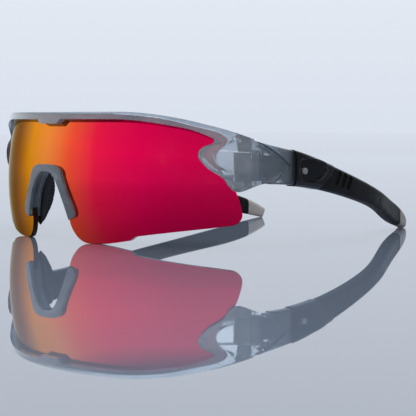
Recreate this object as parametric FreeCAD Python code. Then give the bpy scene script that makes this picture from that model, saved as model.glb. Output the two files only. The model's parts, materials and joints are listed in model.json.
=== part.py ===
import FreeCAD, Part
import math
import os

from FreeCAD import Vector

# Wraparound sport sunglasses: one curved shield lens under a clear brow frame, with two folding arms.
# Millimetres. +Z is up, the front faces -Y, and +X is the wearer's left.
# Sizes are laid out with y = 0 at the lens's lowest edge and z = 0 at the table, and are centred at the end.

# Lens
lens_wrap_radius = 82.4       # outer face, seen from above
lens_drop_radius = 88.9       # outer face, seen from the side
lens_middle_z = 25.5          # height where the lens bulges furthest
lens_centre_y = 78.2          # centre of the wrap radius
lens_tilt = 4.3               # degrees, top leans back
lens_thickness = 1.8
lens_top_z = 42.7
lens_half_width = 64.0
seat_gap = 0.05               # between the lens and what holds it
cheek_angle = 51.0            # where the front curve hands over to the side curve, degrees
cheek_radius = 22.0           # side curve that turns the wall straight back

# Brow frame
frame_front = 2.2             # stands out in front of the lens face
frame_back = 1.8              # wall behind the lens
brow_height = 2.4             # front bead over the lens
brow_top_z = 43.7
back_wall_height = 4.4
pocket_wall = 1.5             # thickness left outside the hinge pocket
tab_half_top = 6.7
tab_half_bottom = 4.9
tab_depth = 1.5

# Nose piece and pads
nose_front = 1.2
nose_back = 1.2
nose_leg = 2.8                # width of each leg
pad_thickness = 2.6
pad_flare = 24.0              # degrees, seen from above
pad_splay = 17.0              # degrees, seen from the front

# Hinge
hinge_x = 66.2
hinge_y = 30.6
hinge_z = 26.2
barrel_radius = 1.6
knuckle_height = 4.0          # middle barrel, on the arm
ear_height = 2.4              # each barrel on the frame
screw_radius = 0.7
screw_head_radius = 1.3
screw_head_height = 0.7
hinge_headroom = 1.2          # free height over the screw and under it
hinge_room_length = 11.0      # hollow behind the axis
running_gap = 0.05            # in the hinge and the arm slide
part_gap = 0.3                # between the frame and the arm
plate_thickness = 1.4
plate_height = 7.0
bracket_length = 7.5
leaf_length = 11.5

# Arms: centre line from the hinge to the tip, with the height and width of each section
arm_stations = (
    # x, y, z, height, width
    (65.4, 26.0, 27.8, 14.6, 5.0),
    (67.3, 31.0, 27.2, 13.0, 5.1),
    (68.6, 37.0, 26.4, 11.8, 5.2),
    (69.0, 45.0, 25.2, 10.7, 5.2),
    (68.6, 54.0, 23.3, 9.4, 5.2),
    (67.0, 65.0, 20.7, 8.1, 5.2),
    (64.1, 77.5, 17.6, 7.1, 5.2),
    (57.8, 94.5, 13.2, 6.4, 5.0),
    (48.6, 110.2, 8.9, 6.9, 4.8),
    (42.7, 121.5, 5.6, 6.6, 4.6),
    (38.6, 130.3, 2.1, 3.8, 3.9),
)
section_corner = 0.32         # corner radius as a share of the section's width
collar_front_y = 42.6
collar_proud = 0.3            # bezel collar stands out from the arm
collar_rear_y = 61.4
tip_length_y = 7.0
slide_travel = 8.0            # how far the sleeve draws out
slide_front = (68.9, 46.9, 24.8)    # the slide's centre line, inside the collar
slide_rear = (64.6, 73.0, 18.7)
bar_width = 1.9               # slide tongue
bar_height = 5.0
bar_start_y = 40.9
bar_end_y = collar_rear_y + slide_travel + 3.6
wire_radius = 0.8
window_depth = 1.4
stud_radius = 1.05
stud_height = 1.1
stud_y = 46.9
stud_z = 24.6
slot_count = 3
first_slot_y = 63.7
first_slot_z = 21.8
slot_drop = 0.95              # each slot lies this much lower than the one before
slot_corner = 0.8
slot_pitch = 3.4
slot_width = 2.3
slot_height = 5.0
slot_depth = 0.55
slot_lean = 31.0              # degrees, top leans back
slot_turn = 9.0               # degrees, follows the arm's inward turn
dimple_radius = 0.35
dimple_depth = 0.6
dimples = ((80.0, 17.0), (93.5, 13.3))


def edge_through(points, stations=None):
    """A straight edge for two points, a smooth curve for more, with each point at its station along it."""
    if len(points) == 2:
        return Part.makeLine(points[0], points[1])
    curve = Part.BSplineCurve()
    if stations:
        curve.interpolate(Points=points, Parameters=stations)
    else:
        curve.interpolate(points)
    return curve.toShape()


def chord_stations(outline):
    """Running length from point to point of an outline, as a share of the whole."""
    lengths = [0.0]
    for near, far in zip(outline, outline[1:]):
        lengths.append(lengths[-1] + math.dist(near, far))
    return [length / lengths[-1] for length in lengths]


def front_prism(stretches, y_from=-40.0, depth=150.0):
    """Solid along Y whose front view is a closed outline of (x, z) stretches."""
    edges = [edge_through([Vector(x, y_from, z) for x, z in points]) for points in stretches]
    return Part.Face(Part.Wire(edges)).extrude(Vector(0, depth, 0))


def radial_prism(stretches):
    """Solid of the lines from the lens's upright centre line through a closed front outline.

    The outline's (x, z) points are where those lines meet the lens's outer face.
    """
    wires = []
    for reach in (20.0, 120.0):
        edges = []
        for points in stretches:
            spread = [math.tan(math.asin(x / lens_wrap_radius)) * reach for x, _ in points]
            placed = [Vector(s, lens_centre_y - reach, p[1]) for s, p in zip(spread, points)]
            edges.append(edge_through(placed, chord_stations(points)))
        wires.append(Part.Wire(edges))
    return Part.makeLoft(wires, True, True)


def side_prism(stretches, x_from=40.0, depth=50.0):
    """Solid along X whose side view is a closed outline of (y, z) stretches."""
    edges = [edge_through([Vector(x_from, y, z) for y, z in points]) for points in stretches]
    return Part.Face(Part.Wire(edges)).extrude(Vector(depth, 0, 0))


def mirrored(stretches):
    """Close a right-hand outline, drawn from the centre top to the centre bottom, with its mirror image."""
    return stretches + [[(-x, z) for x, z in reversed(points)] for points in reversed(stretches)]


def flip(shape):
    """The same piece on the wearer's right."""
    return shape.mirror(Vector(0, 0, 0), Vector(1, 0, 0))


def ring_section(plan_radius, inner, outer, turn, centre):
    """Vertical slice of a curved wall, on the ray at `turn` degrees from straight ahead."""
    reach = math.radians(20.0)
    middle = Vector(plan_radius - lens_drop_radius, 0, lens_middle_z)

    def point(offset, angle):
        radius = lens_drop_radius + offset
        return middle + Vector(radius * math.cos(angle), 0, radius * math.sin(angle))

    face_arc = Part.Arc(point(outer, -reach), point(outer, 0), point(outer, reach)).toShape()
    back_arc = Part.Arc(point(inner, reach), point(inner, 0), point(inner, -reach)).toShape()
    top = Part.makeLine(point(outer, reach), point(inner, reach))
    bottom = Part.makeLine(point(inner, -reach), point(outer, -reach))
    section = Part.Face(Part.Wire([face_arc, top, back_arc, bottom]))
    section.rotate(Vector(0, 0, 0), Vector(0, 0, 1), turn - 90.0)
    section.translate(centre)
    return section


def wall(inner, outer):
    """Wraparound wall between two offsets of the outer lens face, with straight sides behind the cheeks."""
    up = Vector(0, 0, 1)
    centre = Vector(0, lens_centre_y, 0)
    front = ring_section(lens_wrap_radius, inner, outer, -cheek_angle, centre).revolve(centre, up, 2 * cheek_angle)
    spare = lens_wrap_radius - cheek_radius
    turn = math.radians(cheek_angle)
    cheek = centre + Vector(spare * math.sin(turn), -spare * math.cos(turn), 0)
    corner = ring_section(cheek_radius, inner, outer, cheek_angle, cheek).revolve(cheek, up, 90.0 - cheek_angle)
    side = ring_section(cheek_radius, inner, outer, 90.0, cheek).extrude(Vector(0, 20, 0))
    solid = front.multiFuse([corner, side, flip(corner), flip(side)]).removeSplitter()
    solid.rotate(Vector(0, 0, lens_middle_z), Vector(1, 0, 0), -lens_tilt)
    return solid


def lens_outline():
    """Right half of the shield: brow line, rear beak, cheek, lower lobe and nose cut-out."""
    w = lens_half_width
    top = lens_top_z
    return [
        [(0, top), (28, top)],
        [(28, top), (38, top - 0.6), (48, top - 2.3), (55, top - 4.4), (w - 4.0, top - 6.6), (w - 3.0, top - 8.2),
         (w - 3.8, top - 10.0), (w - 5.2, top - 12.0), (w - 5.6, top - 14.0), (w - 4.8, top - 17.0),
         (w - 3.0, top - 20.0), (w - 1.7, 19.6), (w - 0.8, 16.4), (w - 0.1, 12.6), (w, 10.2), (w - 0.6, 8.6),
         (w - 1.9, 7.5)],
        [(w - 1.9, 7.5), (53.9, 6.1), (43.3, 4.5), (36.4, 3.4)],
        [(36.4, 3.4), (34.4, 2.0)],
        [(34.4, 2.0), (28, 0.9), (20.7, 0.3), (16.0, 0.9), (12.8, 3.4), (11.2, 6.4), (10.8, 8.8)],
        [(10.8, 8.8), (10.4, 12.0), (9.0, 17.0), (7.0, 21.6), (4.0, 24.2), (0, 24.8)],
    ]


def brow_outline(height):
    """Right half of the bead over the lens, with the given height at the middle."""
    top = brow_top_z
    low = top - height
    return [
        [(0, top), (29, top)],
        [(29, top), (37.6, top - 0.3), (48.4, top - 1.9), (57.0, top - 4.4), (63.0, top - 7.0)],
        [(63.0, top - 7.0), (61.0, top - 10.2)],
        [(61.0, top - 10.2), (58.8, low - 6.7), (56.4, low - 5.2), (53.4, low - 3.7), (46.6, low - 1.9), (37, low - 0.4),
         (29, low)],
        [(29, low), (0, low)],
    ]


def endpiece_outline():
    """Front view of the broad side of the frame: notch, front scallop and lowest point."""
    return [
        [(52.0, 43.0), (58.7, 34.9)],
        [(58.7, 34.9), (58.9, 34.2), (58.3, 33.5), (56.8, 32.7), (55.9, 31.6), (55.6, 30.0), (56.9, 27.3),
         (59.2, 24.8), (61.4, 23.0), (62.7, 20.6), (63.8, 18.9), (65.4, 18.2)],
        [(65.4, 18.2), (80.0, 18.2)],
        [(80.0, 18.2), (80.0, 43.0)],
        [(80.0, 43.0), (52.0, 43.0)],
    ]


def chevron(gap):
    """Everything in front of the parting line between frame and arm, moved back by gap."""
    return side_prism([
        [(0, 50), (28.6 + gap, 50)],
        [(28.6 + gap, 50), (28.6 + gap, 34.6)],
        [(28.6 + gap, 34.6), (33.6 + gap, 31.4), (38.9 + gap, 27.6)],
        [(38.9 + gap, 27.6), (39.9 + gap, 26.3), (38.9 + gap, 25.0)],
        [(38.9 + gap, 25.0), (35.6 + gap, 22.6), (33.0 + gap, 19.6)],
        [(33.0 + gap, 19.6), (33.0 + gap, 5)],
        [(33.0 + gap, 5), (0, 5)],
        [(0, 5), (0, 50)],
    ])


def endpiece_side_outline():
    """Side view of the broad side of the frame, from the brow to the parting line."""
    return side_prism([
        [(8, 42.8), (14, 40.9), (20, 38.8), (26, 36.2), (31, 33.9), (42, 30.9)],
        [(42, 30.9), (42, 20.0)],
        [(42, 20.0), (36, 20.5), (31, 20.9), (26.5, 19.3), (24.5, 18.4), (22.5, 18.3)],
        [(22.5, 18.3), (8, 18.3)],
        [(8, 18.3), (8, 42.8)],
    ])


def rounded_section(station, heading):
    """Rounded rectangle across the arm, square to its heading."""
    x, y, z, height, width = station
    side = heading.cross(Vector(0, 0, 1)).normalize()
    up = side.cross(heading).normalize()
    centre = Vector(x, y, z)
    radius = section_corner * width
    w = width / 2
    h = height / 2
    k = radius * (1 - math.sqrt(0.5))
    corners = ((1, 1), (-1, 1), (-1, -1), (1, -1))
    edges = []

    def at(a, b):
        return centre + side * a + up * b

    starts = []
    for sx, sz in corners:
        along_top = at(sx * (w - radius), sz * h)
        along_side = at(sx * w, sz * (h - radius))
        middle = at(sx * (w - k), sz * (h - k))
        first, last = (along_side, along_top) if sx * sz > 0 else (along_top, along_side)
        starts.append((first, middle, last))
    for i, (first, middle, last) in enumerate(starts):
        edges.append(Part.Arc(first, middle, last).toShape())
        edges.append(Part.makeLine(last, starts[(i + 1) % 4][0]))
    return Part.Wire(edges)


def headings(stations):
    """Unit direction of the arm at each station."""
    points = [Vector(*s[:3]) for s in stations]
    result = []
    for i in range(len(points)):
        before = points[max(i - 1, 0)]
        after = points[min(i + 1, len(points) - 1)]
        result.append((after - before).normalize())
    return result


def arm_body(proud=0.0):
    """Whole outer shape of one arm, from inside the frame to the tip, grown by `proud`."""
    grown = [(x, y, z, h + 2 * proud, w + 2 * proud) for x, y, z, h, w in arm_stations]
    sections = [rounded_section(s, d) for s, d in zip(grown, headings(arm_stations))]
    return Part.makeLoft(sections, True, False)


def between(y_front, y_rear):
    """Upright slab across the arm between two depths."""
    return Part.makeBox(70, y_rear - y_front, 70, Vector(20, y_front, -10))


def before_collar_edge():
    """Everything in front of the collar's swept rear edge."""
    rear = collar_rear_y
    return side_prism([
        [(20, 50), (rear + 1, 50)],
        [(rear + 1, 50), (rear + 1, 29)],
        [(rear + 1, 29), (rear - 0.2, 25.4), (rear - 2.2, 22.6), (rear - 5.6, 20.4), (rear - 8.6, 17.0)],
        [(rear - 8.6, 17.0), (rear - 8.6, 5)],
        [(rear - 8.6, 5), (20, 5)],
        [(20, 5), (20, 50)],
    ])


def slide_line():
    """Start and direction of the straight slide between arm and sleeve."""
    start = Vector(*slide_front)
    end = Vector(*slide_rear)
    return start, (end - start).normalize()


def slide_bar(grow, y_start, y_end):
    """Rectangular tongue along the slide, grown by `grow` on its sides."""
    start, along = slide_line()
    side = along.cross(Vector(0, 0, 1)).normalize()
    up = side.cross(along).normalize()
    w = bar_width / 2 + grow
    h = bar_height / 2 + grow
    origin = start + along * ((y_start - start.y) / along.y)
    corners = [origin + side * a + up * b for a, b in ((w, h), (-w, h), (-w, -h), (w, -h))]
    face = Part.Face(Part.makePolygon(corners + corners[:1]))
    return face.extrude(along * ((y_end - y_start) / along.y))


def core_wire(grow=0.0):
    """Bendable wire down the middle of the sleeve."""
    picked = arm_stations[6:10]
    sections = []
    for station, heading in zip(picked, headings(arm_stations)[6:10]):
        circle = Part.Circle(Vector(*station[:3]), heading, wire_radius + grow)
        sections.append(Part.Wire(circle.toShape()))
    return Part.makeLoft(sections, True, False)


def barrel(low, high, radius):
    """Upright cylinder on the hinge axis, at heights measured from the hinge's middle."""
    return Part.makeCylinder(radius, high - low, Vector(hinge_x, hinge_y, hinge_z + low))


def plate(length, turn, thickness, height):
    """Flat plate from the hinge axis, heading `turn` degrees from straight back, towards the middle."""
    box = Part.makeBox(thickness, length, height, Vector(hinge_x - thickness / 2, hinge_y, hinge_z - height / 2))
    box.rotate(Vector(hinge_x, hinge_y, 0), Vector(0, 0, 1), turn)
    return box


def hinge_half_height():
    """From the hinge's middle to the outer end of an ear."""
    return knuckle_height / 2 + running_gap + ear_height


def barrel_room(gap):
    """Upright hollow round the hinge's barrels and screw."""
    reach = hinge_half_height() + hinge_headroom
    return barrel(-reach, reach, barrel_radius + gap)


def hinge_pieces():
    """Frame bracket with two ears, arm leaf with one knuckle, and the screw through them."""
    half = knuckle_height / 2
    top = hinge_half_height()
    screw_hole = barrel(-top - 1, top + 1, screw_radius + running_gap)
    knuckle = barrel(-half, half, barrel_radius)
    swing = barrel(-half - running_gap, half + running_gap, barrel_radius + part_gap)
    ears = [barrel(half + running_gap, top, barrel_radius), barrel(-top, -half - running_gap, barrel_radius)]
    bracket_plate = plate(bracket_length, 152.0, plate_thickness, 2 * top)
    bracket = bracket_plate.multiFuse(ears).cut(swing).cut(screw_hole).removeSplitter()
    ear_swing = barrel(-top - 1, -half, barrel_radius + part_gap)
    ear_swing = ear_swing.fuse(barrel(half, top + 1, barrel_radius + part_gap))
    leaf = plate(leaf_length, 0.0, plate_thickness, plate_height).cut(ear_swing).fuse(knuckle)
    leaf = leaf.cut(screw_hole).removeSplitter()
    shank = barrel(-top, top, screw_radius)
    head = barrel(top, top + screw_head_height, screw_head_radius)
    slot_width_y = 0.35
    slot_floor = hinge_z + top + screw_head_height / 2
    driver_slot = Part.makeBox(
        2 * barrel_radius, slot_width_y, screw_head_height,
        Vector(hinge_x - barrel_radius, hinge_y - slot_width_y / 2, slot_floor))
    screw = shank.fuse(head).cut(driver_slot).removeSplitter()
    return bracket, leaf, screw


def build_frame(lens, bracket):
    """Brow bead, back wall, centre tab and both broad sides as one moulding."""
    front_bead = wall(-lens_thickness - frame_back, frame_front).common(
        radial_prism(mirrored(brow_outline(brow_height))))
    back_wall = wall(-lens_thickness - frame_back, -lens_thickness - seat_gap).common(
        radial_prism(mirrored(brow_outline(back_wall_height))))
    tab_bottom = brow_top_z - brow_height - tab_depth
    tab_shape = front_prism([
        [(-tab_half_top, brow_top_z - 1.5), (tab_half_top, brow_top_z - 1.5)],
        [(tab_half_top, brow_top_z - 1.5), (tab_half_top, brow_top_z - brow_height)],
        [(tab_half_top, brow_top_z - brow_height), (tab_half_bottom, tab_bottom)],
        [(tab_half_bottom, tab_bottom), (-tab_half_bottom, tab_bottom)],
        [(-tab_half_bottom, tab_bottom), (-tab_half_top, brow_top_z - brow_height)],
        [(-tab_half_top, brow_top_z - brow_height), (-tab_half_top, brow_top_z - 1.5)],
    ], -40.0, 60.0)
    tab = wall(seat_gap, frame_front).common(tab_shape)
    endpiece = wall(-lens_thickness - frame_back, frame_front).common(front_prism(endpiece_outline()))
    endpiece = endpiece.common(endpiece_side_outline()).common(chevron(0.0)).cut(hinge_pocket())
    room_height = 2 * (hinge_half_height() + hinge_headroom)
    room = barrel_room(part_gap).fuse(plate(hinge_room_length, 0.0, 2 * barrel_radius, room_height))
    endpiece = endpiece.cut(room).cut(bracket)
    frame = front_bead
    for moulding in (back_wall, tab, endpiece, flip(endpiece)):
        frame = frame.fuse(moulding)
    fold_room = Part.makeBox(20, 20, 60, Vector(hinge_x + part_gap - 20, hinge_y - 2.6, 0))
    return frame.cut(lens).cut(fold_room).cut(flip(fold_room))


def hinge_pocket():
    """Hollow behind the outer wall of the frame's side, where the hinge bracket sits."""
    return wall(-lens_thickness - frame_back - 1, frame_front - pocket_wall).common(side_prism([
        [(19.6, 31.2), (40, 30.4)],
        [(40, 30.4), (40, 22.8)],
        [(40, 22.8), (24.6, 24.4), (21.4, 25.6), (19.9, 28.0), (19.6, 31.2)],
    ]))


def build_nose_bridge(lens):
    """Inverted U that clips over the nose cut-out of the lens."""
    outer = [
        [(0, 26.2), (4.6, 26.0), (7.2, 25.0), (8.8, 22.4)],
        [(8.8, 22.4), (9.8, 20.0), (11.7, 16.2), (13.6, 12.4), (14.2, 10.4), (13.8, 8.8)],
        [(13.8, 8.8), (11.6, 8.0)],
        [(11.6, 8.0), (13.0 - nose_leg, 12.0), (11.0 - nose_leg, 16.6), (8.6 - nose_leg, 20.8), (3.4, 23.2),
         (0, 23.6)],
    ]
    solid = wall(-lens_thickness - nose_back, nose_front).common(radial_prism(mirrored(outer)))
    return solid.cut(lens)


def build_nose_pad():
    """Soft pad behind one leg of the nose piece."""
    outline = side_prism([
        [(-3.0, 22.8), (0.2, 23.2), (3.4, 21.4), (5.9, 17.8), (6.8, 12.8), (5.6, 8.0), (2.6, 4.2), (-0.2, 3.2),
         (-2.4, 4.6)],
        [(-2.4, 4.6), (-4.2, 9.0), (-4.4, 15.0), (-3.0, 22.8)],
    ], 8.6, pad_thickness)
    corner = Vector(8.6, 0, 14.0)
    outline.rotate(corner, Vector(0, 1, 0), -pad_splay)
    outline.rotate(corner, Vector(0, 0, 1), -pad_flare)
    return outline.cut(wall(-lens_thickness - nose_back - seat_gap, 8.0))


def window_cutter():
    """Recess in the collar's outer face, shallow towards the back."""
    front = stud_y - 2.1
    outline = side_prism([
        [(front, 27.6), (front + 1.0, 28.2), (front + 8.6, 27.4), (front + 12.0, 26.4), (front + 12.2, 25.2)],
        [(front + 12.2, 25.2), (front + 10.0, 22.8), (front + 8.0, 21.9)],
        [(front + 8.0, 21.9), (front + 1.0, 22.0), (front, 22.8)],
        [(front, 22.8), (front, 27.6)],
    ])
    face_x = outer_face_x(stud_y) + collar_proud
    floor = Part.makePolygon([
        Vector(face_x - window_depth, front - 4, 0), Vector(face_x - window_depth, front + 5, 0),
        Vector(face_x - 0.8, front + 12.4, 0), Vector(face_x + 9, front + 12.4, 0),
        Vector(face_x + 9, front - 4, 0),
        Vector(face_x - window_depth, front - 4, 0)])
    return outline.common(Part.Face(floor).extrude(Vector(0, 0, 50)))


def grip_slots(body):
    """Slanted slots and two small dimples in the sleeve's outer face."""
    cutters = []
    for i in range(slot_count):
        y = first_slot_y + i * slot_pitch
        z = first_slot_z - i * slot_drop
        slot = Part.makeBox(6.0, slot_width, slot_height, Vector(0, -slot_width / 2, -slot_height / 2))
        upright = [e for e in slot.Edges if abs(e.tangentAt(e.FirstParameter).x) > 0.9]
        slot = slot.makeFillet(slot_corner, upright)
        slot.rotate(Vector(0, 0, 0), Vector(1, 0, 0), -slot_lean)
        slot.rotate(Vector(0, 0, 0), Vector(0, 0, 1), slot_turn)
        slot.translate(Vector(outer_face_x(y) - slot_depth, y, z))
        cutters.append(slot)
    for y, z in dimples:
        drill = Part.makeCylinder(dimple_radius, 4.0, Vector(outer_face_x(y) - dimple_depth, y, z), Vector(1, 0, 0))
        cutters.append(drill)
    return body.cut(Part.makeCompound(cutters))


def outer_face_x(y):
    """How far out the arm's outer face is at a given depth."""
    for near, far in zip(arm_stations, arm_stations[1:]):
        if near[1] <= y <= far[1]:
            share = (y - near[1]) / (far[1] - near[1])
            return near[0] + near[4] / 2 + share * (far[0] + far[4] / 2 - near[0] - near[4] / 2)
    return arm_stations[-1][0]


def build_arm(leaf):
    """Clear front of the arm with the slide tongue, the collar, the stud, the sleeve, the wire and the tip."""
    body = arm_body()
    rear_y = arm_stations[-1][1]
    head = body.common(between(20.0, collar_front_y - part_gap)).cut(chevron(part_gap))
    front_room = Part.makeBox(20, 20, 40, Vector(hinge_x + part_gap - 20, hinge_y - 18, 5))
    tongue = slide_bar(0.0, bar_start_y, bar_end_y)
    front = head.cut(barrel_room(2.5 * part_gap)).cut(front_room).fuse(tongue).cut(leaf).removeSplitter()
    bore = slide_bar(running_gap, bar_start_y, bar_end_y + 0.5)
    collar_shape = before_collar_edge().common(between(collar_front_y, collar_rear_y + 5))
    collar = arm_body(collar_proud).common(collar_shape).cut(bore).cut(window_cutter())
    sleeve = body.common(between(collar_front_y, rear_y - tip_length_y)).cut(before_collar_edge())
    sleeve = sleeve.cut(bore).cut(core_wire())
    sleeve = grip_slots(sleeve)
    tip = body.common(between(rear_y - tip_length_y, rear_y + 20))
    stud = Part.makeCylinder(stud_radius, stud_height, Vector(0, 0, 0), Vector(1, 0, 0))
    stud.translate(Vector(outer_face_x(stud_y) + collar_proud - window_depth, stud_y, stud_z))
    return {
        "temple_arm": front, "bezel_collar": collar, "lock_stud": stud,
        "temple_sleeve": sleeve, "core_wire": core_wire(), "temple_tip": tip,
    }


def build_all():
    outline = radial_prism(mirrored(lens_outline()))
    lens = wall(-lens_thickness, 0.0).common(outline)
    lens_room = wall(-lens_thickness - seat_gap, seat_gap).common(outline)
    bracket, leaf, screw = hinge_pieces()
    pieces = {
        "shield_lens": lens,
        "brow_frame": build_frame(lens_room, bracket),
        "nose_bridge": build_nose_bridge(lens_room),
    }
    side = {"hinge_bracket": bracket, "hinge_leaf": leaf, "hinge_screw": screw, "nose_pad": build_nose_pad()}
    side.update(build_arm(leaf))
    for name, shape in side.items():
        pieces[name + "_left"] = shape
        pieces[name + "_right"] = flip(shape)
    return pieces


def centred(pieces):
    """Stand the pieces on z = 0 with the middle of their depth at y = 0."""
    box = FreeCAD.BoundBox()
    for shape in pieces.values():
        box.add(shape.optimalBoundingBox())
    move = Vector(0, -(box.YMin + box.YMax) / 2, -box.ZMin)
    for shape in pieces.values():
        shape.translate(move)
    return move


def main():
    os.makedirs("parts", exist_ok=True)
    pieces = build_all()
    move = centred(pieces)
    for name, shape in pieces.items():
        shape.exportStep("parts/" + name + ".step")
        print(name, len(shape.Solids), shape.isValid(), round(shape.Volume, 1))
    axis = Vector(hinge_x, hinge_y, hinge_z) + move
    print("moved by", move)
    print("left hinge at", axis)
    print("left slide along", slide_line()[1])


main()
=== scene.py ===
import json
import math

import bmesh
import bpy
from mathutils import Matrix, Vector
from mathutils.bvhtree import BVHTree


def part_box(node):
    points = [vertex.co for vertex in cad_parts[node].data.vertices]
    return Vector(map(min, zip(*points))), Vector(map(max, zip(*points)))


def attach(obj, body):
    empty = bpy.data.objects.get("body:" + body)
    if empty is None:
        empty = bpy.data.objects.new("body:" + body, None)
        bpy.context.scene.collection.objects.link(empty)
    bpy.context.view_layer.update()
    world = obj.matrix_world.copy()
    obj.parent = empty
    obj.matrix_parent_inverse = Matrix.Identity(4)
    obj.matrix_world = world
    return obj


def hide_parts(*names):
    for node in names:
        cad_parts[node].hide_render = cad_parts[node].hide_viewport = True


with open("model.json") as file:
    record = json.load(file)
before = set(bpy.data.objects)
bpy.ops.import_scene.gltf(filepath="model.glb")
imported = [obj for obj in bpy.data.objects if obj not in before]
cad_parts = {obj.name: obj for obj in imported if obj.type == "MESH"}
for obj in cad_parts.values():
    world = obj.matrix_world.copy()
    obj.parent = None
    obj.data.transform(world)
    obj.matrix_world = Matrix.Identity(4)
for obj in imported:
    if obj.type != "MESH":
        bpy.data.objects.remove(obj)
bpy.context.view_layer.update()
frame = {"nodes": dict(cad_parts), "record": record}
SIDES = ("left", "right")
MM = 0.001
OUTWARD = {"left": 1, "right": -1}


# ---------------------------------------------------------------- node helpers

class Nodes:
    """Builds one material's node tree."""

    def __init__(self, name):
        self.material = bpy.data.materials.new(name)
        self.material.use_nodes = True
        self.tree = self.material.node_tree
        self.shader = self.tree.nodes["Principled BSDF"]
        coordinates = self.add("ShaderNodeTexCoord")
        self.place = coordinates.outputs["Object"]
        self.facing_out = coordinates.outputs["Normal"]

    def add(self, kind, **values):
        node = self.tree.nodes.new(kind)
        for key, value in values.items():
            setattr(node, key, value)
        return node

    def link(self, source, target):
        self.tree.links.new(source, target)

    def set(self, **values):
        for key, value in values.items():
            self.shader.inputs[key.replace("_", " ")].default_value = value

    def noise(self, scale, detail=4.0, roughness=0.5, stretch=(1, 1, 1)):
        mapping = self.add("ShaderNodeMapping")
        mapping.inputs["Scale"].default_value = stretch
        self.link(self.place, mapping.inputs["Vector"])
        noise = self.add("ShaderNodeTexNoise")
        noise.inputs["Scale"].default_value = scale
        noise.inputs["Detail"].default_value = detail
        noise.inputs["Roughness"].default_value = roughness
        self.link(mapping.outputs["Vector"], noise.inputs["Vector"])
        return noise.outputs["Fac"]

    def span(self, value, low, high, to_low=0.0, to_high=1.0):
        node = self.add("ShaderNodeMapRange")
        node.inputs["From Min"].default_value = low
        node.inputs["From Max"].default_value = high
        node.inputs["To Min"].default_value = to_low
        node.inputs["To Max"].default_value = to_high
        self.link(value, node.inputs["Value"])
        return node.outputs["Result"]

    def axis(self, letter):
        split = self.add("ShaderNodeSeparateXYZ")
        self.link(self.place, split.inputs["Vector"])
        return split.outputs[letter]

    def math(self, operation, a, b):
        node = self.add("ShaderNodeMath", operation=operation)
        for socket, value in zip(node.inputs, (a, b)):
            if isinstance(value, (int, float)):
                socket.default_value = value
            else:
                self.link(value, socket)
        return node.outputs["Value"]

    def vector(self, operation, a, b=None):
        node = self.add("ShaderNodeVectorMath", operation=operation)
        for socket, value in zip(node.inputs, (a, b)):
            if isinstance(value, tuple):
                socket.default_value = value
            elif value is not None:
                self.link(value, socket)
        return node.outputs["Value" if operation == "DOT_PRODUCT" else "Vector"]

    def blend(self, share, a, b):
        node = self.add("ShaderNodeMix", data_type="RGBA")
        self.link(share, node.inputs["Factor"])
        for socket, colour in zip((node.inputs[6], node.inputs[7]), (a, b)):
            if isinstance(colour, tuple):
                socket.default_value = (*colour, 1)
            else:
                self.link(colour, socket)
        return node.outputs[2]

    def ramp(self, value, *stops):
        node = self.add("ShaderNodeValToRGB")
        ramp = node.color_ramp
        while len(ramp.elements) < len(stops):
            ramp.elements.new(0.5)
        for element, (place, colour) in zip(ramp.elements, stops):
            element.position = place
            element.color = (*colour, 1)
        self.link(value, node.inputs["Fac"])
        return node.outputs["Color"]

    def bump(self, height, strength, distance):
        node = self.add("ShaderNodeBump")
        node.inputs["Strength"].default_value = strength
        node.inputs["Distance"].default_value = distance
        self.link(height, node.inputs["Height"])
        self.link(node.outputs["Normal"], self.shader.inputs["Normal"])


def mix(a, b, share):
    return tuple(x + (y - x) * share for x, y in zip(a, b))


# ---------------------------------------------------------------- materials

BULGE_DEPTH = 77.5 * MM       # from the lens's front back to the middle of its bulge
BULGE_RAISE = 4 * MM
OUTER_FACE = (0.80, 0.88)     # cosine between a face and the ray from that middle: no coating, full coating
LENS_BACK = (0.020, 0.010, 0.012)
HAZE = 0.012


def mirror_lens():
    """Red mirror coating; its base colour is painted by viewing angle, crimson head-on, then orange and
    dark olive at a slant, a painted reflection colour; dark edge and back.
    """
    m = Nodes("mirror_lens")
    low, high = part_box("shield_lens")
    bulge_centre = (0.0, low[1] + BULGE_DEPTH, (low[2] + high[2]) / 2 + BULGE_RAISE)
    outward = m.vector("NORMALIZE", m.vector("SUBTRACT", m.place, bulge_centre))
    outer_face = m.span(m.vector("DOT_PRODUCT", outward, m.facing_out), *OUTER_FACE)
    facing = m.add("ShaderNodeLayerWeight")
    facing.inputs["Blend"].default_value = 0.5
    haze = m.noise(38, 3)
    angle = m.math("ADD", facing.outputs["Facing"], m.span(haze, 0.3, 0.7, -HAZE, HAZE))
    # painted reflection: base colour read from the viewing angle (Layer Weight Facing), crimson head-on,
    # orange and then dark olive towards grazing; noise shifts the bands a little
    slant_painted_reflection = m.ramp(
        angle,
        (0.00, (0.64, 0.001, 0.062)), (0.10, (0.82, 0.001, 0.075)), (0.22, (0.95, 0.010, 0.060)),
        (0.33, (1.00, 0.085, 0.035)), (0.46, (1.00, 0.30, 0.06)), (0.58, (0.95, 0.36, 0.06)),
        (0.74, (0.28, 0.16, 0.015)), (0.90, (0.08, 0.055, 0.008)))
    m.link(m.blend(outer_face, LENS_BACK, slant_painted_reflection), m.shader.inputs["Base Color"])
    m.link(m.math("MULTIPLY", outer_face, 0.95), m.shader.inputs["Metallic"])
    m.link(m.span(m.noise(60, 5), 0.3, 0.7, 0.01, 0.03), m.shader.inputs["Roughness"])
    m.set(Specular_IOR_Level=0.6, Specular_Tint=(0.62, 0.36, 0.08, 1))
    return m.material


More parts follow.
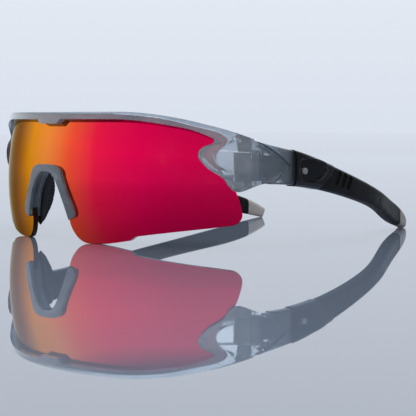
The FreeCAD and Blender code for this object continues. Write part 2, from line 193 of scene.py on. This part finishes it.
def clear_grey(name, light, dark, transmission, fade=None):
    """Smoky see-through plastic, a little cloudy; `fade` turns it solid from one y to another."""
    m = Nodes(name)
    cloud = m.noise(55, 4, 0.55, (1, 0.5, 2.2))
    colour = m.ramp(m.span(cloud, 0.32, 0.68), (0.0, dark), (1.0, light))
    if fade:
        start, end, deep = fade
        share = m.span(m.axis("Y"), start, end)
        colour = m.blend(share, colour, deep)
        clearness = m.span(m.axis("Y"), start, end, transmission, 0.0)
        m.link(clearness, m.shader.inputs["Transmission Weight"])
    else:
        m.set(Transmission_Weight=transmission)
    m.link(colour, m.shader.inputs["Base Color"])
    m.link(m.span(m.noise(90, 3), 0.3, 0.7, 0.13, 0.22), m.shader.inputs["Roughness"])
    m.set(IOR=1.45, Coat_Weight=1.0, Coat_Roughness=0.02)
    m.bump(m.noise(160, 3), 0.04, 0.0003)
    return m.material


def black_rubber(name, tone, grain=900):
    """Fine-grained matte rubber with handling marks."""
    m = Nodes(name)
    worn = m.noise(45, 5, 0.6)
    m.link(m.ramp(m.span(worn, 0.35, 0.7), (0, tone), (1, mix(tone, (0.05, 0.048, 0.046), 0.25))),
           m.shader.inputs["Base Color"])
    m.link(m.span(m.noise(160, 4), 0.3, 0.7, 0.42, 0.56), m.shader.inputs["Roughness"])
    m.set(Sheen_Weight=0.02, Sheen_Roughness=0.4, Specular_IOR_Level=0.25)
    m.bump(m.noise(grain, 6, 0.6), 0.25, 0.0002)
    return m.material


def gloss_black():
    """Polished black plastic."""
    m = Nodes("gloss_black")
    m.link(m.ramp(m.noise(50), (0.3, (0.004, 0.004, 0.006)), (0.7, (0.011, 0.011, 0.014))),
           m.shader.inputs["Base Color"])
    m.link(m.span(m.noise(120, 5), 0.3, 0.7, 0.05, 0.13), m.shader.inputs["Roughness"])
    m.set(Coat_Weight=0.7, Coat_Roughness=0.04)
    m.bump(m.noise(300, 2), 0.03, 0.0002)
    return m.material


def steel(name, tone, roughness, metal=1.0):
    """Turned steel with fine drawn lines."""
    m = Nodes(name)
    grain = m.noise(300, 3, 0.6, (1, 1, 12))
    m.link(m.ramp(grain, (0.3, mix(tone, (0, 0, 0), 0.3)), (0.7, tone)), m.shader.inputs["Base Color"])
    m.link(m.span(grain, 0.3, 0.7, roughness, roughness + 0.15), m.shader.inputs["Roughness"])
    m.set(Metallic=metal)
    m.bump(grain, 0.1, 0.0001)
    return m.material


def pale_rubber(name, tone):
    """Light grey moulded rubber, soft and slightly mottled."""
    m = Nodes(name)
    mottle = m.noise(140, 5, 0.6)
    m.link(m.ramp(m.span(mottle, 0.3, 0.7), (0, mix(tone, (0.2, 0.19, 0.18), 0.25)), (1, tone)),
           m.shader.inputs["Base Color"])
    m.link(m.span(mottle, 0.3, 0.7, 0.42, 0.58), m.shader.inputs["Roughness"])
    m.set(Sheen_Weight=0.1, Subsurface_Weight=0.05)
    m.bump(m.noise(700, 5), 0.12, 0.0002)
    return m.material


def pale_floor():
    """Pale blue-grey tabletop, glossy enough to mirror the part."""
    m = Nodes("pale_floor")
    m.link(m.ramp(m.noise(3, 2), (0.3, (0.20, 0.25, 0.34)), (0.7, (0.22, 0.275, 0.365))),
           m.shader.inputs["Base Color"])
    m.set(Roughness=0.012, IOR=2.1)
    return m.material


FRAME_LIGHT = (0.56, 0.63, 0.71)
FRAME_DARK = (0.36, 0.43, 0.51)
ARM_BLACK = (0.006, 0.007, 0.009)
NOSE_LIGHT = mix(FRAME_LIGHT, ARM_BLACK, 0.45)
NOSE_DARK = mix(FRAME_DARK, ARM_BLACK, 0.6)
collar_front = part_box("bezel_collar_left")[0][1]
arm_fade = (collar_front - 6.8 * MM, collar_front - 1.2 * MM, ARM_BLACK)

finishes = {
    "mirror_lens": mirror_lens(),
    "clear_frame": clear_grey("clear_frame", FRAME_LIGHT, FRAME_DARK, 0.78),
    "clear_nose": clear_grey("clear_nose", NOSE_LIGHT, NOSE_DARK, 0.6),
    "clear_arm": clear_grey("clear_arm", FRAME_LIGHT, FRAME_DARK, 0.75, arm_fade),
    "pad_rubber": black_rubber("pad_rubber", (0.005, 0.005, 0.0055), 700),
    "sleeve_rubber": black_rubber("sleeve_rubber", (0.007, 0.0068, 0.0068)),
    "gloss_black": gloss_black(),
    "hinge_metal": steel("hinge_metal", (0.52, 0.57, 0.63), 0.4, 0.55),
    "screw_metal": steel("screw_metal", (0.42, 0.43, 0.46), 0.25),
    "wire_metal": steel("wire_metal", (0.5, 0.5, 0.52), 0.25),
    "stud_grey": pale_rubber("stud_grey", (0.42, 0.42, 0.42)),
    "tip_grey": pale_rubber("tip_grey", (0.56, 0.545, 0.52)),
}


# ---------------------------------------------------------------- carried-over CAD nodes

BEVELS = {                    # widths of the softened edges, in mm
    "shield_lens": 0.35, "brow_frame": 0.5, "nose_bridge": 0.5, "nose_pad": 0.6,
    "temple_arm": 0.35, "bezel_collar": 0.25, "temple_sleeve": 0.25, "temple_tip": 0.4,
    "lock_stud": 0.2, "hinge_leaf": 0.15, "hinge_bracket": 0.15, "hinge_screw": 0.1,
}
WELD_REACH = 1e-6
SHARP_EDGE = math.radians(38)


def finish_node(node, finish, bevel):
    """Gives a CAD node its finish and soft edges."""
    ob = frame["nodes"][node]
    ob.data.materials.clear()
    ob.data.materials.append(finishes[finish])
    weld = ob.modifiers.new("weld", "WELD")
    weld.merge_threshold = WELD_REACH
    if bevel:
        round_edges = ob.modifiers.new("bevel", "BEVEL")
        round_edges.width = bevel
        round_edges.segments = 3
        round_edges.limit_method = "ANGLE"
        round_edges.angle_limit = SHARP_EDGE
        round_edges.harden_normals = True
    smooth = ob.modifiers.new("normals", "WEIGHTED_NORMAL")
    smooth.keep_sharp = True
    for polygon in ob.data.polygons:
        polygon.use_smooth = True


def dress_nodes():
    for entry in frame["record"]["subparts"]:
        node = entry["node"]
        kind = node.rsplit("_", 1)[0] if node.endswith(SIDES) else node
        finish_node(node, entry["material_slot"], BEVELS.get(kind, 0.0) * MM)


dress_nodes()


# ---------------------------------------------------------------- added detail

class Surface:
    """Finds points on a CAD node's surface."""

    def __init__(self, node):
        mesh = frame["nodes"][node].data
        self.points = [v.co.copy() for v in mesh.vertices]
        self.tree = BVHTree.FromPolygons(self.points, [tuple(p.vertices) for p in mesh.polygons])

    def band(self, axis, value, reach, other):
        """Range along `other` of the vertices within `reach` of `value` along `axis`."""
        found = [p[other] for p in self.points if abs(p[axis] - value) < reach]
        return min(found), max(found)

    def hit(self, start, direction):
        place, normal, _, _ = self.tree.ray_cast(start, direction)
        return place, normal


def add_piece(name, bm, slot, body):
    mesh = bpy.data.meshes.new(name)
    bmesh.ops.recalc_face_normals(bm, faces=bm.faces)
    bm.to_mesh(mesh)
    bm.free()
    mesh.materials.append(finishes[slot])
    for polygon in mesh.polygons:
        polygon.use_smooth = True
    ob = bpy.data.objects.new(name, mesh)
    bpy.context.scene.collection.objects.link(ob)
    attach(ob, body)
    return ob


RIDGE_SUNK = 0.12 * MM
RIDGE_STEPS = 6               # facets across a ridge's crown
RIDGE_TAPER = 0.25
RIDGE_HEIGHT = 0.22 * MM


def ridge(bm, points, normals, width):
    """Crowned bar along points on a surface, sunk a little and tapered at both ends."""
    foot = (0, RIDGE_STEPS)
    loops = []
    last = len(points) - 1
    for i, (point, normal) in enumerate(zip(points, normals)):
        along = (points[min(i + 1, last)] - points[max(i - 1, 0)]).normalized()
        across = along.cross(normal).normalized()
        taper = RIDGE_TAPER if i in (0, last) else 1.0
        loop = []
        for step in range(RIDGE_STEPS + 1):
            turn = math.pi * step / RIDGE_STEPS
            side = across * (math.cos(turn) * width / 2 * taper)
            lift = math.sin(turn) * RIDGE_HEIGHT * taper - (RIDGE_SUNK if step in foot else 0)
            loop.append(bm.verts.new(point + side + normal * lift))
        loops.append(loop)
    for a, b in zip(loops, loops[1:]):
        for step in range(RIDGE_STEPS):
            bm.faces.new((a[step], a[step + 1], b[step + 1], b[step]))
        bm.faces.new((a[-1], a[0], b[0], b[-1]))
    bm.faces.new(loops[0])
    bm.faces.new(loops[-1][::-1])


RIB_PITCH = 2.3 * MM
RIB_WIDTH = 0.9 * MM
RIB_SLANT = 1.3 * MM          # how far each end of a rib is moved along the sleeve
RIB_MARGIN = 2.1 * MM         # bare band above and below a rib
RIBS_FROM = 20 * MM           # from the sleeve's front end
RIBS_TO = 3 * MM              # from its rear end
RIB_POINTS = 7


def make_sleeve_ribs(side):
    """Slanted grip ribs on the sleeve's inner face, towards the ear."""
    surface = Surface("temple_sleeve_" + side)
    out = OUTWARD[side]
    low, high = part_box("temple_sleeve_" + side)
    bm = bmesh.new()
    first = low[1] + RIBS_FROM
    count = int((high[1] - RIBS_TO - first) / RIB_PITCH)
    for i in range(count):
        y = first + i * RIB_PITCH
        bottom, top = surface.band(1, y, 1.6 * MM, 2)
        middle = (bottom + top) / 2
        reach = (top - bottom) / 2 - RIB_MARGIN
        points = []
        normals = []
        for step in range(RIB_POINTS):
            share = 2 * step / (RIB_POINTS - 1) - 1
            start = Vector((0, y + share * RIB_SLANT, middle + share * reach))
            place, normal = surface.hit(start, Vector((out, 0, 0)))
            if place is not None:
                points.append(place)
                normals.append(normal)
        if len(points) == RIB_POINTS:
            ridge(bm, points, normals, RIB_WIDTH)
    add_piece("sleeve_ribs_" + side, bm, "sleeve_rubber", "sleeve_" + side)


PAD_VOXEL = 0.22 * MM
PAD_ROUNDING = 26             # smoothing passes
COMB_PITCH = 1.25 * MM
COMB_DEPTH = 0.34 * MM
COMB_START = 0.35             # share of the pad's depth where the comb begins
COMB_EASE = 0.25


def clamp(value):
    return min(max(value, 0), 1)


def make_nose_pad(side):
    """Soft pad with rounded edges and a comb of small ribs down its rear edge."""
    node = "nose_pad_" + side
    source = frame["nodes"][node].data.copy()
    ob = bpy.data.objects.new("soft_pad_" + side, source)
    ob.modifiers.clear()
    bpy.context.scene.collection.objects.link(ob)
    remesh = ob.modifiers.new("remesh", "REMESH")
    remesh.mode = "VOXEL"
    remesh.voxel_size = PAD_VOXEL
    rounding = ob.modifiers.new("rounding", "SMOOTH")
    rounding.factor = 0.5
    rounding.iterations = PAD_ROUNDING
    shaped = bpy.data.meshes.new_from_object(ob.evaluated_get(bpy.context.evaluated_depsgraph_get()))
    ob.modifiers.clear()
    ob.data = shaped
    low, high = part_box(node)
    for vertex in shaped.vertices:
        normal = vertex.normal.copy()
        depth = (vertex.co.y - low[1]) / (high[1] - low[1])
        share = clamp((depth - COMB_START) / COMB_EASE) * clamp(normal.y + 0.35)
        wave = 0.5 + 0.5 * math.cos(2 * math.pi * (vertex.co.z - low[2]) / COMB_PITCH)
        vertex.co -= normal * (COMB_DEPTH * share * wave)
    shaped.materials.clear()
    shaped.materials.append(finishes["pad_rubber"])
    for polygon in shaped.polygons:
        polygon.use_smooth = True
    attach(ob, "front")
    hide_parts(node)


NOSE_RIDGE_WIDTH = 0.7 * MM
NOSE_RIDGE_FOOT = 2.0 * MM    # from the bottom of the nose piece
NOSE_RIDGE_STEP = 0.95 * MM
NOSE_RIDGE_POINTS = 11


def make_nose_ridges(side):
    """Moulded ridges down the inner side of one leg of the nose piece."""
    surface = Surface("nose_bridge")
    out = OUTWARD[side]
    low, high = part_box("nose_bridge")
    bm = bmesh.new()
    for share in (0.2, 0.5, 0.8):
        points = []
        normals = []
        for step in range(NOSE_RIDGE_POINTS):
            z = low[2] + NOSE_RIDGE_FOOT + NOSE_RIDGE_STEP * step
            near = [p.y for p in surface.points
                    if abs(p.z - z) < 1.2 * MM and 0 < p.x * out < 14 * MM]
            y = min(near) + (max(near) - min(near)) * share
            place, normal = surface.hit(Vector((0, y, z)), Vector((out, 0, 0)))
            if place is not None and (not points or (place - points[-1]).length < 2 * MM):
                points.append(place)
                normals.append(normal)
        if len(points) > 3:
            ridge(bm, points, normals, NOSE_RIDGE_WIDTH)
    add_piece("nose_ridges_" + side, bm, "clear_nose", "front")


RIM_WIDTH = 0.55 * MM
RIM_OUTLINE = (               # y and z from the stud's middle, in mm
    (-2.9, 2.6), (-2.7, 3.5), (-1.4, 4.2), (3.0, 4.0),
    (7.0, 3.4), (10.0, 2.4), (10.8, 1.2), (10.3, -0.4),
    (9.0, -1.9), (7.4, -3.0), (5.0, -3.3), (1.0, -3.2),
    (-1.6, -3.1), (-2.7, -2.4), (-2.9, -1.2), (-2.9, 0.8),
)


def make_window_rim(side):
    """Thin lip round the recess in the collar's outer face, where the locking stud shows."""
    surface = Surface("bezel_collar_" + side)
    out = OUTWARD[side]
    low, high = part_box("lock_stud_" + side)
    middle = (low + high) / 2
    points = []
    normals = []
    for y, z in RIM_OUTLINE + RIM_OUTLINE[:1]:
        start = Vector((0.1 * out, middle.y + y * MM, middle.z + z * MM))
        place, normal = surface.hit(start, Vector((-out, 0, 0)))
        if place is not None and (not points or (place - points[-1]).length < 6 * MM):
            points.append(place)
            normals.append(Vector((out, 0, 0)))
    bm = bmesh.new()
    ridge(bm, points, normals, RIM_WIDTH)
    rim = add_piece("window_rim_" + side, bm, "gloss_black", "sleeve_" + side)
    rounding = rim.modifiers.new("rounding", "SUBSURF")
    rounding.levels = rounding.render_levels = 2


for side in SIDES:
    make_window_rim(side)
    make_sleeve_ribs(side)
    make_nose_pad(side)
    make_nose_ridges(side)


# ---------------------------------------------------------------- stage, light and camera

FLOOR_HALF = 3.0
SKY_BANDS = (                 # colour of the surroundings from the horizon, 0, to straight up, 1
    (0.00, (0.74, 0.80, 0.90)), (0.20, (0.90, 0.93, 0.98)), (0.42, (0.80, 0.84, 0.90)),
    (0.55, (0.22, 0.25, 0.30)), (0.70, (0.18, 0.20, 0.24)), (0.80, (1.0, 1.0, 1.0)),
)
DARK_SIDE = (0.76, 0.65, 0)   # direction in which the surroundings are dimmed
DARK_FADE = (("From Min", 0.3), ("From Max", 0.8), ("To Min", 0.95), ("To Max", 0.12))
CAMERA_PLACE = (0.3928, -0.3332, 0.0407)
CAMERA_TURN = math.radians(49.36)
CAMERA_DIP = math.radians(3.594)
CAMERA_LENS = 121.15


def make_floor():
    half = FLOOR_HALF
    mesh = bpy.data.meshes.new("floor")
    corners = [(-half, -half, 0), (half, -half, 0), (half, half, 0), (-half, half, 0)]
    mesh.from_pydata(corners, [], [(0, 1, 2, 3)])
    mesh.materials.append(pale_floor())
    floor = bpy.data.objects.new("floor", mesh)
    bpy.context.scene.collection.objects.link(floor)


def softbox(name, place, aim, size, power, tint=(1, 1, 1)):
    light = bpy.data.lights.new(name, "AREA")
    light.shape = "RECTANGLE"
    light.size, light.size_y = size
    light.energy = power
    light.color = tint
    ob = bpy.data.objects.new(name, light)
    ob.location = place
    ob.rotation_mode = "QUATERNION"
    ob.rotation_quaternion = (Vector(aim) - Vector(place)).to_track_quat("-Z", "Y")
    ob.visible_glossy = False
    bpy.context.scene.collection.objects.link(ob)


def make_light():
    middle = (0, 0, 0.02)
    softbox("overhead", (0.1, 0.1, 0.9), middle, (1.2, 1.2), 3.5)
    softbox("front_fill", (0.5, -0.9, 0.5), middle, (0.8, 0.6), 1.2, (1.0, 0.98, 0.95))
    softbox("rear_window", (-0.6, 0.9, 0.35), middle, (1.0, 0.5), 2.5, (0.92, 0.96, 1.0))
    world = bpy.data.worlds.new("studio")
    world.use_nodes = True
    tree = world.node_tree
    back = tree.nodes["Background"]
    sky = tree.nodes.new("ShaderNodeTexCoord").outputs["Generated"]
    split = tree.nodes.new("ShaderNodeSeparateXYZ")
    tree.links.new(sky, split.inputs["Vector"])
    ramp = tree.nodes.new("ShaderNodeValToRGB")
    while len(ramp.color_ramp.elements) < len(SKY_BANDS):
        ramp.color_ramp.elements.new(0.5)
    for element, (place, colour) in zip(ramp.color_ramp.elements, SKY_BANDS):
        element.position = place
        element.color = (*colour, 1)
    tree.links.new(split.outputs["Z"], ramp.inputs["Fac"])
    tree.links.new(ramp.outputs["Color"], back.inputs["Color"])
    side = tree.nodes.new("ShaderNodeVectorMath")
    side.operation = "DOT_PRODUCT"
    side.inputs[1].default_value = DARK_SIDE
    tree.links.new(sky, side.inputs[0])
    shade = tree.nodes.new("ShaderNodeMapRange")
    shade.interpolation_type = "SMOOTHSTEP"
    for key, value in DARK_FADE:
        shade.inputs[key].default_value = value
    tree.links.new(side.outputs["Value"], shade.inputs["Value"])
    tree.links.new(shade.outputs["Result"], back.inputs["Strength"])
    bpy.context.scene.world = world
    bpy.context.scene.view_settings.view_transform = "Standard"


def make_camera():
    """Low view from the wearer's front left, level with the lens."""
    level = math.cos(CAMERA_DIP)
    across, forward = -math.sin(CAMERA_TURN) * level, math.cos(CAMERA_TURN) * level
    ahead = Vector((across, forward, -math.sin(CAMERA_DIP)))
    camera = bpy.data.cameras.new("camera")
    camera.sensor_width = 36.0
    camera.lens = CAMERA_LENS
    camera.clip_start = 0.01
    ob = bpy.data.objects.new("camera", camera)
    ob.location = CAMERA_PLACE
    ob.rotation_mode = "QUATERNION"
    ob.rotation_quaternion = ahead.to_track_quat("-Z", "Y")
    bpy.context.scene.collection.objects.link(ob)
    bpy.context.scene.camera = ob


make_floor()
make_light()
make_camera()
